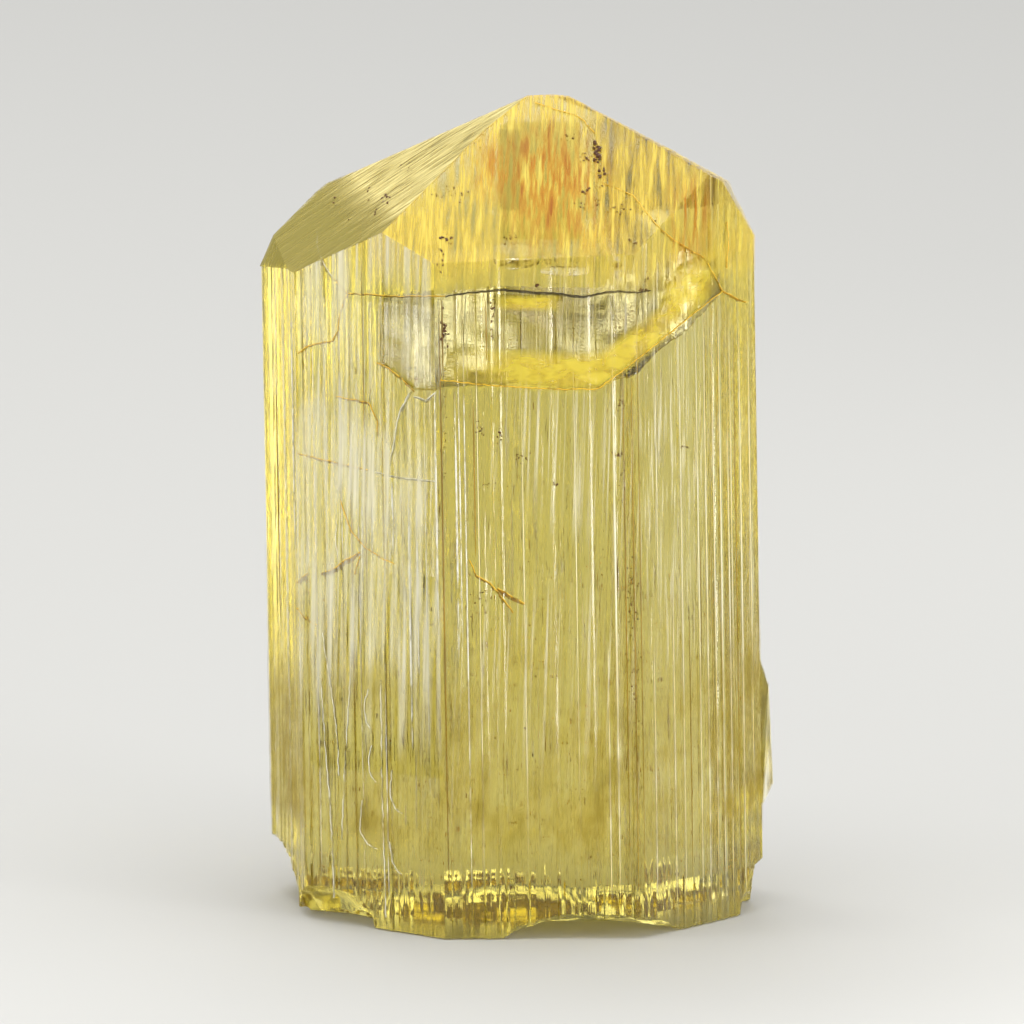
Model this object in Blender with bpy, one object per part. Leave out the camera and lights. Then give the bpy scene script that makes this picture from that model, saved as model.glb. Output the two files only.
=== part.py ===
# A clear yellow marialite crystal, one piece as it grew: an eight sided prism with fine
# steps along its length, a low four sided pyramid on top, a shell shaped crack below it, and
# a base that is broken off its rock and chipped at the corners. It stands on that break.

import math
import random

import bmesh
import bpy
from mathutils import Matrix, Vector

MM = 0.001

# Azimuths are in degrees, from the main front face (-Y) round towards +X.
# Each prism face has its azimuth and its distance from the crystal's axis.
PRISM_FACES = (
    (0, 8.8 * MM),
    (45, 8.7 * MM),
    (90, 9.9 * MM),
    (135, 9.7 * MM),
    (180, 8.8 * MM),
    (225, 9.2 * MM),
    (270, 9.82 * MM),
    (315, 9.7 * MM),
)

HEIGHT = 33.7 * MM
STOCK_BELOW = 3.0 * MM

# The pyramid's four faces, each with its azimuth and its slope from the horizontal.
PYRAMID_FACES = (
    (0, 32.1),
    (90, 30.2),
    (180, 32.1),
    (270, 31.6),
)

# The top isn't a point but a short ridge, off the axis, between its left and right ends.
RIDGE_LEFT = 0.5 * MM
RIDGE_RIGHT = 2.5 * MM

# The prism leans to its left on the broken base, as seen from a little left of the front.
LEAN = 2.9
LEAN_VIEW_AZIMUTH = -12

# A narrow strip bevels the left ridge: how far down it reaches at its front and its back, and
# how far its top is below the ridge.
STRIP_FRONT_REACH = 1.65 * MM
STRIP_BACK_REACH = 6.4 * MM
STRIP_BELOW_RIDGE = 0.22 * MM

# Small facets at the shoulders and on top, each with a point on it, its azimuth and its slope.
SMALL_FACETS = (
    ((-8.8 * MM, 4.1 * MM, 28.3 * MM), 266, 60),
    ((9.9 * MM, -2.42 * MM, 27.8 * MM), 80, 62),
    ((RIDGE_RIGHT, 0.0, HEIGHT - 0.12 * MM), 40, 20),
)

# Striations: flat treads of uneven width at uneven depth, parted by narrow risers.
STRIATION_SEED = 17
TREAD_NARROW = 0.14 * MM
TREAD_WIDE = 0.60 * MM
RISER = 0.05 * MM
STEP_DEPTH = 0.11 * MM
CORNER_FLAT = 0.30 * MM

# A thin plate still stands out from the right side low down, and tapers off upwards.
PLATE_PROUD = 0.52 * MM
PLATE_BOTTOM = 4.0 * MM
PLATE_WIDEST = 4.8 * MM
PLATE_TOP = 10.6 * MM
PLATE_FRONT = -2.9 * MM
PLATE_BACK = 0.9 * MM
PLATE_ROOT = 1.2 * MM
PLATE_LIP = 0.5 * MM
PLATE_EDGE_FRONT = 0.8 * MM
PLATE_EDGE_BACK = 0.6 * MM
PLATE_SHOULDER_PROUD = 0.35 * MM
PLATE_SHOULDER_DROP = 1.7 * MM
PLATE_TOP_SUNK = 0.15 * MM

# Shell shaped breaks at the base: place and half sizes, measured from the axis at the base.
BASE_BREAKS = (
    ("front_arch", (1.7, -8.6, -0.55), (4.6, 4.2, 1.40)),
    ("left_corner", (-9.6, -4.8, -0.30), (2.7, 2.6, 1.75)),
    ("left_rim", (-10.8, 2.2, -0.30), (3.2, 5.0, 2.70)),
    ("right_corner", (10.4, -2.7, -0.20), (1.8, 2.7, 2.60)),
    ("hollow", (-0.6, 0.6, -1.70), (5.4, 4.3, 2.80)),
    ("hollow_side", (3.6, 2.9, -1.00), (3.3, 3.0, 1.75)),
    ("back_arch", (-1.2, 9.2, -0.50), (3.4, 2.6, 1.30)),
    ("back_chip", (8.4, 6.6, -0.30), (2.0, 2.0, 1.25)),
)
BREAK_ROUGHNESS = 0.05
BREAK_SEED = 5

# A shell shaped crack near the top. It opens along its rim on the front faces, and runs
# inwards and upwards to its inner edge. Places are in millimetres, before the lean.
CRACK_RIM = (
    (-6.85, -6.87, 23.9),
    (-5.7, -8.0, 22.9),
    (-4.8, -8.8, 23.0),
    (-1.4, -8.8, 23.0),
    (0.9, -8.8, 22.7),
    (1.7, -8.8, 22.7),
    (2.6, -8.8, 23.0),
    (4.6, -7.7, 23.9),
    (6.2, -6.1, 24.5),
    (7.7, -4.6, 25.5),
    (8.2, -4.1, 25.9),
)
CRACK_INNER_EDGE = (
    (-5.6, -4.2, 26.3),
    (-3.9, -4.2, 26.5),
    (-1.5, -4.0, 26.7),
    (0.8, -4.0, 26.5),
    (2.6, -4.0, 26.4),
    (3.6, -3.6, 26.9),
    (4.6, -3.0, 27.6),
    (6.2, -1.4, 27.0),
    (7.1, -0.9, 26.1),
)
CRACK_THICKNESS = 0.05 * MM
CRACK_STARTS_OUTSIDE = 0.06
CRACK_STEEPER_INSIDE = 1.12
CRACK_COLUMNS = 30
CRACK_ROWS = 8

CRYSTAL_COLOUR = (0.560, 0.470, 0.130, 1.0)
CRYSTAL_IOR = 1.545
CRYSTAL_ROUGHNESS = 0.06


def clear_scene():
    for item in list(bpy.data.objects):
        bpy.data.objects.remove(item, do_unlink=True)


def direction(azimuth):
    """Horizontal unit vector that points out at an azimuth."""
    angle = math.radians(azimuth)
    return Vector((math.sin(angle), -math.cos(angle), 0.0))


def crossing(first, second):
    """Corner where two prism faces meet, each given as azimuth and distance."""
    one = direction(first[0])
    two = direction(second[0])
    spread = one.x * two.y - one.y * two.x
    x = (first[1] * two.y - second[1] * one.y) / spread
    y = (one.x * second[1] - two.x * first[1]) / spread
    return Vector((x, y, 0.0))


def face_treads(start, end, outward, draw):
    """Points along one prism face, stepping in and out by the striations."""
    length = (end - start).length
    along = (end - start).normalized()
    points = [start]
    place = CORNER_FLAT
    points.append(start + along * place)
    depth = 0.0
    while place < length - CORNER_FLAT - TREAD_WIDE:
        place += RISER
        shallow = depth < STEP_DEPTH / 2
        depth = STEP_DEPTH * (draw.uniform(0.45, 1.0) if shallow else draw.uniform(0.0, 0.4))
        points.append(start + along * place - outward * depth)
        place += draw.uniform(TREAD_NARROW, TREAD_WIDE)
        points.append(start + along * place - outward * depth)
    points.append(start + along * (place + RISER))
    return points


def striated_outline():
    """The prism's cross section, counter clockwise seen from above."""
    draw = random.Random(STRIATION_SEED)
    count = len(PRISM_FACES)
    points = []
    for index, face in enumerate(PRISM_FACES):
        start = crossing(PRISM_FACES[index - 1], face)
        end = crossing(face, PRISM_FACES[(index + 1) % count])
        points += face_treads(start, end, direction(face[0]), draw)
    return points


def prism(points):
    """Closed prism over the outline, long enough to be cut at both ends."""
    bm = bmesh.new()
    ring = [bm.verts.new((p.x, p.y, -STOCK_BELOW)) for p in points]
    floor = bm.faces.new(ring)
    raised = bmesh.ops.extrude_face_region(bm, geom=[floor])
    top = [item for item in raised["geom"] if isinstance(item, bmesh.types.BMVert)]
    bmesh.ops.translate(bm, verts=top, vec=(0.0, 0.0, HEIGHT + 2 * STOCK_BELOW))
    bmesh.ops.recalc_face_normals(bm, faces=bm.faces)
    return bm


def cut(bm, point, normal):
    """Take off all that lies past a plane, and close the cut with one flat face."""
    geometry = bm.verts[:] + bm.edges[:] + bm.faces[:]
    result = bmesh.ops.bisect_plane(
        bm, geom=geometry, dist=1e-8, plane_co=point, plane_no=normal, clear_outer=True)
    rim = [item for item in result["geom_cut"] if isinstance(item, bmesh.types.BMEdge)]
    bmesh.ops.contextual_create(bm, geom=rim)
    bmesh.ops.recalc_face_normals(bm, faces=bm.faces)


def tilted(azimuth, slope):
    """Normal of a face that slopes from the horizontal towards an azimuth."""
    angle = math.radians(slope)
    return direction(azimuth) * math.sin(angle) + Vector((0.0, 0.0, math.cos(angle)))


def plane_through(first, second, third):
    """Upward normal of the plane through three points."""
    normal = (second - first).cross(third - first).normalized()
    return normal if normal.z > 0 else -normal


def cut_pyramid(bm):
    """Four low faces that meet in the short top ridge."""
    for azimuth, slope in PYRAMID_FACES:
        end = RIDGE_LEFT if azimuth == 270 else RIDGE_RIGHT
        cut(bm, Vector((end, 0.0, HEIGHT)), tilted(azimuth, slope))


def cut_small_facets(bm):
    """The bevelled strip on the left ridge, the two shoulders and the right of the top."""
    fall = math.tan(math.radians(PYRAMID_FACES[0][1]))
    top = Vector((RIDGE_LEFT, 0.0, HEIGHT))
    strip_front = top + Vector((-1.0, -1.0, -fall)) * STRIP_FRONT_REACH
    strip_back = top + Vector((-1.0, 1.0, -fall)) * STRIP_BACK_REACH
    strip_top = top - Vector((0.0, 0.0, STRIP_BELOW_RIDGE))
    cut(bm, strip_front, plane_through(strip_front, strip_back, strip_top))
    for place, azimuth, slope in SMALL_FACETS:
        cut(bm, Vector(place), tilted(azimuth, slope))


def lean():
    """The turn that tips the prism over to its left."""
    return Matrix.Rotation(math.radians(-LEAN), 4, -direction(LEAN_VIEW_AZIMUTH))


def lean_and_level(bm):
    """Tip the prism over to its left, then cut it level where it stands."""
    bmesh.ops.transform(bm, matrix=lean(), verts=bm.verts)
    cut(bm, Vector((0.0, 0.0, 0.0)), Vector((0.0, 0.0, -1.0)))


def new_object(name, bm, parent=None):
    mesh = bpy.data.meshes.new(name)
    bm.to_mesh(mesh)
    bm.free()
    item = bpy.data.objects.new(name, mesh)
    bpy.context.scene.collection.objects.link(item)
    item.parent = parent
    return item


def hide_helper(item):
    item.hide_render = True
    item.display_type = "WIRE"


def boolean(crystal, helper, operation):
    step = crystal.modifiers.new(helper.name, "BOOLEAN")
    step.operation = operation
    step.solver = "EXACT"
    step.object = helper
    hide_helper(helper)


def side_plate(crystal):
    """The thin plate that stands out from the right side, as a wedge to be joined on."""
    face = PRISM_FACES[2][1]
    outer = face + PLATE_PROUD
    inner = face - PLATE_ROOT
    points = [
        (inner, PLATE_FRONT + PLATE_ROOT, PLATE_BOTTOM),
        (inner, PLATE_BACK, PLATE_BOTTOM),
        (face, PLATE_FRONT + PLATE_LIP, PLATE_BOTTOM),
        (face, PLATE_BACK, PLATE_BOTTOM),
        (outer, PLATE_FRONT + PLATE_EDGE_FRONT, PLATE_WIDEST),
        (outer, PLATE_BACK - PLATE_EDGE_BACK, PLATE_WIDEST),
        (face + PLATE_SHOULDER_PROUD, PLATE_FRONT + PLATE_EDGE_BACK, PLATE_TOP - PLATE_SHOULDER_DROP),
        (inner, PLATE_FRONT + PLATE_ROOT, PLATE_TOP),
        (inner, PLATE_BACK - PLATE_ROOT, PLATE_TOP),
        (face - PLATE_TOP_SUNK, PLATE_FRONT + PLATE_EDGE_FRONT, PLATE_TOP),
    ]
    bm = bmesh.new()
    verts = [bm.verts.new(lean() @ Vector(p)) for p in points]
    hull = bmesh.ops.convex_hull(bm, input=verts)
    unused = [item for item in hull["geom_interior"] if isinstance(item, bmesh.types.BMVert)]
    bmesh.ops.delete(bm, geom=unused, context="VERTS")
    bmesh.ops.recalc_face_normals(bm, faces=bm.faces)
    plate = new_object("side_plate", bm, crystal)
    boolean(crystal, plate, "UNION")


def base_break(crystal, name, place, halves, draw):
    """A shell shaped piece broken out of the base, a little uneven."""
    bm = bmesh.new()
    bmesh.ops.create_icosphere(bm, subdivisions=3, radius=1.0)
    for vert in bm.verts:
        vert.co *= 1.0 + draw.uniform(-BREAK_ROUGHNESS, BREAK_ROUGHNESS)
        vert.co = Vector((vert.co.x * halves[0], vert.co.y * halves[1], vert.co.z * halves[2]))
        vert.co = (vert.co + Vector(place)) * MM
    helper = new_object(name, bm, crystal)
    boolean(crystal, helper, "DIFFERENCE")


def along_line(points, share):
    """Place part way along a line of points, by its length."""
    lengths = [math.dist(a, b) for a, b in zip(points, points[1:])]
    left = share * sum(lengths)
    last = len(lengths) - 1
    for index, length in enumerate(lengths):
        if left <= length or index == last:
            return Vector(points[index]).lerp(Vector(points[index + 1]), left / length)
        left -= length


def crack_place(along, inward):
    """Place on the crack: along its rim, and from just outside the face to its inner edge."""
    rim = along_line(CRACK_RIM, along)
    inner = along_line(CRACK_INNER_EDGE, along)
    share = inward * (1 + CRACK_STARTS_OUTSIDE) - CRACK_STARTS_OUTSIDE
    climb = math.copysign(abs(share) ** CRACK_STEEPER_INSIDE, share)
    place = rim.lerp(inner, share)
    place.z = rim.z + (inner.z - rim.z) * climb
    return lean() @ (place * MM)


def shell_crack(crystal):
    """The thin slit of the shell shaped crack."""
    bm = bmesh.new()
    rows = []
    for row in range(CRACK_ROWS + 1):
        rows.append([bm.verts.new(crack_place(column / CRACK_COLUMNS, row / CRACK_ROWS))
                     for column in range(CRACK_COLUMNS + 1)])
    for lower, upper in zip(rows, rows[1:]):
        for column in range(CRACK_COLUMNS):
            bm.faces.new((lower[column], lower[column + 1], upper[column + 1], upper[column]))
    helper = new_object("shell_crack", bm, crystal)
    slit = helper.modifiers.new("slit", "SOLIDIFY")
    slit.thickness = CRACK_THICKNESS
    slit.offset = 0.0
    boolean(crystal, helper, "DIFFERENCE")


def crystal_material():
    material = bpy.data.materials.new("clear yellow marialite")
    material.use_nodes = True
    shader = material.node_tree.nodes["Principled BSDF"]
    shader.inputs["Base Color"].default_value = CRYSTAL_COLOUR
    shader.inputs["Metallic"].default_value = 0.0
    shader.inputs["Roughness"].default_value = CRYSTAL_ROUGHNESS
    shader.inputs["IOR"].default_value = CRYSTAL_IOR
    shader.inputs["Transmission Weight"].default_value = 1.0
    return material


def centre_on_origin(crystal):
    """Move the crystal so that the middle of its box stands over the origin."""
    bpy.context.view_layer.update()
    finished = crystal.evaluated_get(bpy.context.evaluated_depsgraph_get())
    corners = [Vector(corner) for corner in finished.bound_box]
    low_x = min(corner.x for corner in corners)
    high_x = max(corner.x for corner in corners)
    low_y = min(corner.y for corner in corners)
    high_y = max(corner.y for corner in corners)
    crystal.location = (-(low_x + high_x) / 2, -(low_y + high_y) / 2, 0.0)


def build():
    clear_scene()
    body = prism(striated_outline())
    cut_pyramid(body)
    cut_small_facets(body)
    lean_and_level(body)
    crystal = new_object("crystal", body)
    crystal.data.materials.append(crystal_material())
    side_plate(crystal)
    draw = random.Random(BREAK_SEED)
    for name, place, halves in BASE_BREAKS:
        base_break(crystal, name, place, halves, draw)
    shell_crack(crystal)
    centre_on_origin(crystal)


build()
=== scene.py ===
import math
import random

import bpy
from mathutils import Matrix, Vector, noise


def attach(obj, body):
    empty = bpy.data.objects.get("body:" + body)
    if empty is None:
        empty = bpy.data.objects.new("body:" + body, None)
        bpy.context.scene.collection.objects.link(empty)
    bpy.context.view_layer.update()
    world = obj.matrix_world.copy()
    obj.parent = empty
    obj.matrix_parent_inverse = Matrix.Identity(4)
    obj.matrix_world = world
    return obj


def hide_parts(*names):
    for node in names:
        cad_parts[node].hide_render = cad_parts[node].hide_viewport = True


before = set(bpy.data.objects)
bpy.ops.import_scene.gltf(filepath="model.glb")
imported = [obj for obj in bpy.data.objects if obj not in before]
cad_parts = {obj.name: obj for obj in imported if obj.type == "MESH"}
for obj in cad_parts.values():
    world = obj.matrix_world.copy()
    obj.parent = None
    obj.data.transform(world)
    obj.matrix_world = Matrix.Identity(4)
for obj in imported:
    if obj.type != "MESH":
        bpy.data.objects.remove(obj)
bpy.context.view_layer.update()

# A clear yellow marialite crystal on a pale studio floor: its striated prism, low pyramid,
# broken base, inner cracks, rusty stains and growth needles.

mm = 0.001

print("scene: the frame is loaded")


# Small helpers for working by hand

def deselectAll():
    if bpy.context.object and bpy.context.object.mode != "OBJECT":
        bpy.ops.object.mode_set(mode="OBJECT")
    bpy.ops.object.select_all(action="DESELECT")


def pickOnly(item):
    deselectAll()
    item.select_set(True)
    bpy.context.view_layer.objects.active = item


def nameNew(name):
    item = bpy.context.object
    item.name = name
    item.data.name = name
    return item


def applyPlace(item):
    pickOnly(item)
    bpy.ops.object.transform_apply(location=True, rotation=True, scale=True)


def addModifier(item, kind, **settings):
    modifier = item.modifiers.new(kind.lower(), kind)
    for key, value in settings.items():
        setattr(modifier, key, value)
    return modifier


def applyModifiers(item):
    pickOnly(item)
    for modifier in list(item.modifiers):
        bpy.ops.object.modifier_apply(modifier=modifier.name)


def deleteFaces(item, unwanted):
    pickOnly(item)
    bpy.ops.object.mode_set(mode="EDIT")
    bpy.ops.mesh.select_mode(type="FACE")
    bpy.ops.mesh.select_all(action="DESELECT")
    bpy.ops.object.mode_set(mode="OBJECT")
    for face in item.data.polygons:
        face.select = unwanted(face)
    bpy.ops.object.mode_set(mode="EDIT")
    bpy.ops.mesh.delete(type="FACE")
    bpy.ops.mesh.select_mode(type="VERT")
    bpy.ops.object.mode_set(mode="OBJECT")


def linear(hexColour):
    values = []
    for place in (1, 3, 5):
        share = int(hexColour[place:place + 2], 16) / 255
        values.append(share / 12.92 if share <= 0.04045 else ((share + 0.055) / 1.055) ** 2.4)
    return (*values, 1.0)


# The crystal's own form, in millimetres round its axis. Azimuths run from the main front
# face round towards the right.

crystalForm = {
    "prismFaces": ((0, 8.8), (45, 8.7), (90, 9.9), (135, 9.7),
                   (180, 8.8), (225, 9.2), (270, 9.82), (315, 9.7)),
    "pyramidFaces": ((0, 32.1), (90, 30.2), (180, 32.1), (270, 31.6)),
    "stripAcross": (1.65, 6.4),     # the flat strip on the left ridge, at its front and back
    "stripBelow": 0.22,
    "smallFaces": (((-8.8, 4.1, 28.3), 266, 60), ((9.9, -2.42, 27.8), 80, 62),
                   ((2.5, 0.0, 33.58), 40, 20)),    # a place on each, its azimuth and slope
    "height": 33.7,
    "stockBelow": 3.0,
    "ridgeLeft": 0.5,
    "ridgeRight": 2.5,
    "lean": 2.9,
    "leanViewAzimuth": -12,
    "axisPlace": (0.4964, -0.1490),
    "striationSeed": 17,
    "treadNarrow": 0.14,
    "treadWide": 0.60,
    "riser": 0.05,
    "stepDepth": 0.11,
    "cornerFlat": 0.30,
    "fineSeed": 4,
    "finePitch": 0.085,      # about twice as coarse as the real hair lines, so that they show
    "fineDepth": 0.030,
    "rowStep": 1.1,
    "waver": 0.030,
    "ridgeBevel": 0.07,
}


def azimuthDirection(azimuth):
    angle = math.radians(azimuth)
    return Vector((math.sin(angle), -math.cos(angle), 0.0))


def slopeNormal(azimuth, slope):
    angle = math.radians(slope)
    return azimuthDirection(azimuth) * math.sin(angle) + Vector((0.0, 0.0, math.cos(angle)))


def faceCrossing(first, second):
    one = azimuthDirection(first[0])
    two = azimuthDirection(second[0])
    spread = one.x * two.y - one.y * two.x
    x = (first[1] * two.y - second[1] * one.y) / spread
    y = (one.x * second[1] - two.x * first[1]) / spread
    return Vector((x, y, 0.0))


def faceTreads(start, end, outward, draw):
    form = crystalForm
    length = (end - start).length
    along = (end - start).normalized()
    place = form["cornerFlat"]
    points = [start, start + along * place]
    depth = 0.0
    while place < length - form["cornerFlat"] - form["treadWide"]:
        place += form["riser"]
        shallow = depth < form["stepDepth"] / 2
        depth = form["stepDepth"] * (draw.uniform(0.45, 1.0) if shallow else draw.uniform(0.0, 0.4))
        points.append(start + along * place - outward * depth)
        place += draw.uniform(form["treadNarrow"], form["treadWide"])
        points.append(start + along * place - outward * depth)
    points.append(start + along * (place + form["riser"]))
    return points


def fineLines(points, draw):
    finer = []
    for index, point in enumerate(points):
        following = points[(index + 1) % len(points)]
        finer.append(point)
        along = following - point
        parts = int(along.length / crystalForm["finePitch"])
        outward = Vector((along.y, -along.x, 0.0)).normalized()
        for part in range(1, parts):
            dip = draw.uniform(0.0, crystalForm["fineDepth"])
            finer.append(point + along * (part / parts) - outward * dip)
    return finer


def striatedOutline():
    faces = crystalForm["prismFaces"]
    draw = random.Random(crystalForm["striationSeed"])
    points = []
    for index, face in enumerate(faces):
        start = faceCrossing(faces[index - 1], face)
        end = faceCrossing(face, faces[(index + 1) % len(faces)])
        points += faceTreads(start, end, azimuthDirection(face[0]), draw)
    return fineLines(points, random.Random(crystalForm["fineSeed"]))


def uprightPrism(name, corners, low, tall, rows=1):
    deselectAll()
    bpy.ops.mesh.primitive_circle_add(vertices=len(corners), radius=1.0, fill_type="NGON")
    item = nameNew(name)
    for vertex, spot in zip(item.data.vertices, corners):
        vertex.co = (spot.x, spot.y, low)
    bpy.ops.object.mode_set(mode="EDIT")
    bpy.ops.mesh.select_all(action="SELECT")
    for row in range(rows):
        bpy.ops.mesh.extrude_region_move(TRANSFORM_OT_translate={"value": (0.0, 0.0, tall / rows)})
    bpy.ops.mesh.select_all(action="SELECT")
    bpy.ops.mesh.normals_make_consistent(inside=False)
    bpy.ops.object.mode_set(mode="OBJECT")
    return item


def striatedPrism():
    form = crystalForm
    tall = form["height"] + 2 * form["stockBelow"]
    rows = round(tall / form["rowStep"])
    item = uprightPrism("marialite", striatedOutline(), -form["stockBelow"], tall, rows)
    for vertex in item.data.vertices:    # the striations waver a little along their length
        flat = Vector((vertex.co.x, vertex.co.y, 0.0))
        seen = noise.noise(Vector((vertex.co.x * 2.1, vertex.co.y * 2.1, vertex.co.z * 0.16)))
        vertex.co -= flat.normalized() * form["waver"] * (0.5 + 0.5 * seen)
    return item


def cutAway(item, point, normal):
    pickOnly(item)
    bpy.ops.object.mode_set(mode="EDIT")
    bpy.ops.mesh.select_all(action="SELECT")
    bpy.ops.mesh.bisect(plane_co=point, plane_no=normal, use_fill=True,
                        clear_outer=True, threshold=1e-6)
    bpy.ops.object.mode_set(mode="OBJECT")


def planeThrough(first, second, third):
    normal = (second - first).cross(third - first).normalized()
    return normal if normal.z > 0 else -normal


def topPlanes():
    form = crystalForm
    planes = []
    for azimuth, slope in form["pyramidFaces"]:
        end = form["ridgeLeft"] if azimuth == 270 else form["ridgeRight"]
        planes.append((Vector((end, 0.0, form["height"])), slopeNormal(azimuth, slope)))
    fall = math.tan(math.radians(form["pyramidFaces"][0][1]))
    top = Vector((form["ridgeLeft"], 0.0, form["height"]))
    stripFront = top + Vector((-1.0, -1.0, -fall)) * form["stripAcross"][0]
    stripBack = top + Vector((-1.0, 1.0, -fall)) * form["stripAcross"][1]
    stripTop = top - Vector((0.0, 0.0, form["stripBelow"]))
    planes.append((stripFront, planeThrough(stripFront, stripBack, stripTop)))
    for spot, azimuth, slope in form["smallFaces"]:
        planes.append((Vector(spot), slopeNormal(azimuth, slope)))
    return planes


def softenRidges(item, planes):
    # the edges where two of the planes meet get a narrow bevel
    pickOnly(item)
    near = 2e-4
    for edge in item.data.edges:
        ends = [item.data.vertices[index].co for index in edge.vertices]
        touching = [1 for point, normal in planes
                    if all(abs((end - point).dot(normal)) < near for end in ends)]
        edge.select = len(touching) > 1
    bpy.ops.object.mode_set(mode="EDIT")
    bpy.ops.mesh.select_mode(type="EDGE")
    bpy.ops.mesh.bevel(offset=crystalForm["ridgeBevel"], segments=2, affect="EDGES")
    bpy.ops.mesh.select_mode(type="VERT")
    bpy.ops.object.mode_set(mode="OBJECT")


leanTurn = Matrix.Rotation(math.radians(-crystalForm["lean"]), 4,
                           -azimuthDirection(crystalForm["leanViewAzimuth"]))
axisShift = Vector((*crystalForm["axisPlace"], 0.0))


# The thin plate that stands out from the right side low down

sidePlate = {
    "proud": 0.52,
    "bottom": 4.0,
    "widest": 4.8,
    "top": 10.6,
    "front": -2.9,
    "back": 0.9,
    "root": 1.2,
}


def makeSidePlate():
    plate = sidePlate
    face = crystalForm["prismFaces"][2][1]
    outer = face + plate["proud"]
    inner = face - plate["root"]
    front = plate["front"]
    points = [
        (inner, front + plate["root"], plate["bottom"]),
        (inner, plate["back"], plate["bottom"]),
        (face, front + 0.5, plate["bottom"]),
        (face, plate["back"], plate["bottom"]),
        (outer, front + 0.8, plate["widest"]),
        (outer, plate["back"] - 0.6, plate["widest"]),
        (face + 0.35, front + 0.6, plate["top"] - 1.7),
        (inner, front + plate["root"], plate["top"]),
        (inner, plate["back"] - 1.2, plate["top"]),
        (face - 0.15, front + 0.8, plate["top"]),
    ]
    deselectAll()
    bpy.ops.mesh.primitive_circle_add(vertices=len(points), radius=1.0)
    item = nameNew("sidePlate")
    for vertex, spot in zip(item.data.vertices, points):
        vertex.co = leanTurn @ Vector(spot)
    bpy.ops.object.mode_set(mode="EDIT")
    bpy.ops.mesh.select_all(action="SELECT")
    bpy.ops.mesh.convex_hull()
    bpy.ops.object.mode_set(mode="OBJECT")
    return item


# Shell shaped breaks at the base: place and half sizes

baseBreaks = {
    "frontArch": ((1.7, -8.6, -0.55), (4.6, 4.2, 1.40)),
    "leftCorner": ((-9.6, -4.8, -0.30), (2.7, 2.6, 1.75)),
    "leftRim": ((-10.8, 2.2, -0.30), (3.2, 5.0, 2.70)),
    "rightCorner": ((10.4, -2.7, -0.20), (1.8, 2.7, 2.60)),
    "hollow": ((-0.6, 0.6, -1.70), (5.4, 4.3, 2.80)),
    "hollowSide": ((3.6, 2.9, -1.00), (3.3, 3.0, 1.75)),
    "backArch": ((-1.2, 9.2, -0.50), (3.4, 2.6, 1.30)),
    "backChip": ((8.4, 6.6, -0.30), (2.0, 2.0, 1.25)),
}


def makeBreak(name, place, halves):
    deselectAll()
    bpy.ops.mesh.primitive_ico_sphere_add(
        subdivisions=5, radius=1.0, location=place, scale=halves)
    item = nameNew(name)
    applyPlace(item)
    ripples = bpy.data.textures.new(name, "CLOUDS")
    ripples.noise_scale = 0.9
    ripples.noise_depth = 3
    addModifier(item, "DISPLACE", texture=ripples, strength=0.35, mid_level=0.5,
                texture_coords="GLOBAL")
    applyModifiers(item)
    return item


# The shell shaped crack near the top: it opens along the rim on the front faces, and runs
# inwards and upwards from there, so that it mirrors the light from above

shellCrack = {
    "rim": ((-6.85, -6.87, 23.9), (-5.7, -8.0, 22.9), (-4.8, -8.8, 23.0), (-1.4, -8.8, 23.0),
            (0.9, -8.8, 22.7), (1.7, -8.8, 22.7), (2.6, -8.8, 23.0), (4.6, -7.7, 23.9),
            (6.2, -6.1, 24.5), (7.7, -4.6, 25.5), (8.2, -4.1, 25.9)),
    "inner": ((-5.6, -4.2, 26.3), (-3.9, -4.2, 26.5), (-1.5, -4.0, 26.7), (0.8, -4.0, 26.5),
              (2.6, -4.0, 26.4), (3.6, -3.6, 26.9), (4.6, -3.0, 27.6), (6.2, -1.4, 27.0),
              (7.1, -0.9, 26.1)),
    "outside": 0.06,     # how far the slit starts before the face, as a share of its reach
    "steeper": 1.12,
    "thickness": 0.05,
    "ripple": 0.07,
    "rippleLength": 1.1,
    "columns": 120,
    "rows": 46,
}


def alongPoints(points, share):
    # the place part way along a line of points, by its length
    lengths = [math.dist(a, b) for a, b in zip(points, points[1:])]
    left = share * sum(lengths)
    for index, length in enumerate(lengths):
        if left <= length or index == len(lengths) - 1:
            return Vector(points[index]).lerp(Vector(points[index + 1]), left / length)
        left -= length


def shellSpot(along, inward):
    crack = shellCrack
    rim = alongPoints(crack["rim"], along)
    inner = alongPoints(crack["inner"], along)
    share = inward * (1 + crack["outside"]) - crack["outside"]
    spot = rim.lerp(inner, share)
    climb = math.copysign(abs(share) ** crack["steeper"], share)
    spot.z = rim.z + (inner.z - rim.z) * climb
    uneven = noise.noise(spot / crack["rippleLength"])
    spot.z += crack["ripple"] * uneven * max(0.0, min(1.0, share * 6))
    return leanTurn @ spot


def bentSheet(name, columns, rows, placeAt, thickness):
    # a grid whose spots are placed by a rule, thickened to a closed film, in millimetres
    deselectAll()
    bpy.ops.mesh.primitive_grid_add(x_subdivisions=columns, y_subdivisions=rows, size=2.0)
    item = nameNew(name)
    for vertex in item.data.vertices:
        vertex.co = placeAt(0.5 + vertex.co.x / 2, 0.5 + vertex.co.y / 2)
    addModifier(item, "SOLIDIFY", thickness=thickness, offset=0.0)
    applyModifiers(item)
    bpy.ops.object.mode_set(mode="EDIT")
    bpy.ops.mesh.select_all(action="SELECT")
    bpy.ops.mesh.normals_make_consistent(inside=False)
    bpy.ops.object.mode_set(mode="OBJECT")
    bpy.ops.object.shade_smooth_by_angle(angle=math.radians(40))
    return item


def combine(item, helper, operation):
    addModifier(item, "BOOLEAN", operation=operation, solver="EXACT", object=helper)
    applyModifiers(item)
    bpy.data.objects.remove(helper, do_unlink=True)


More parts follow.
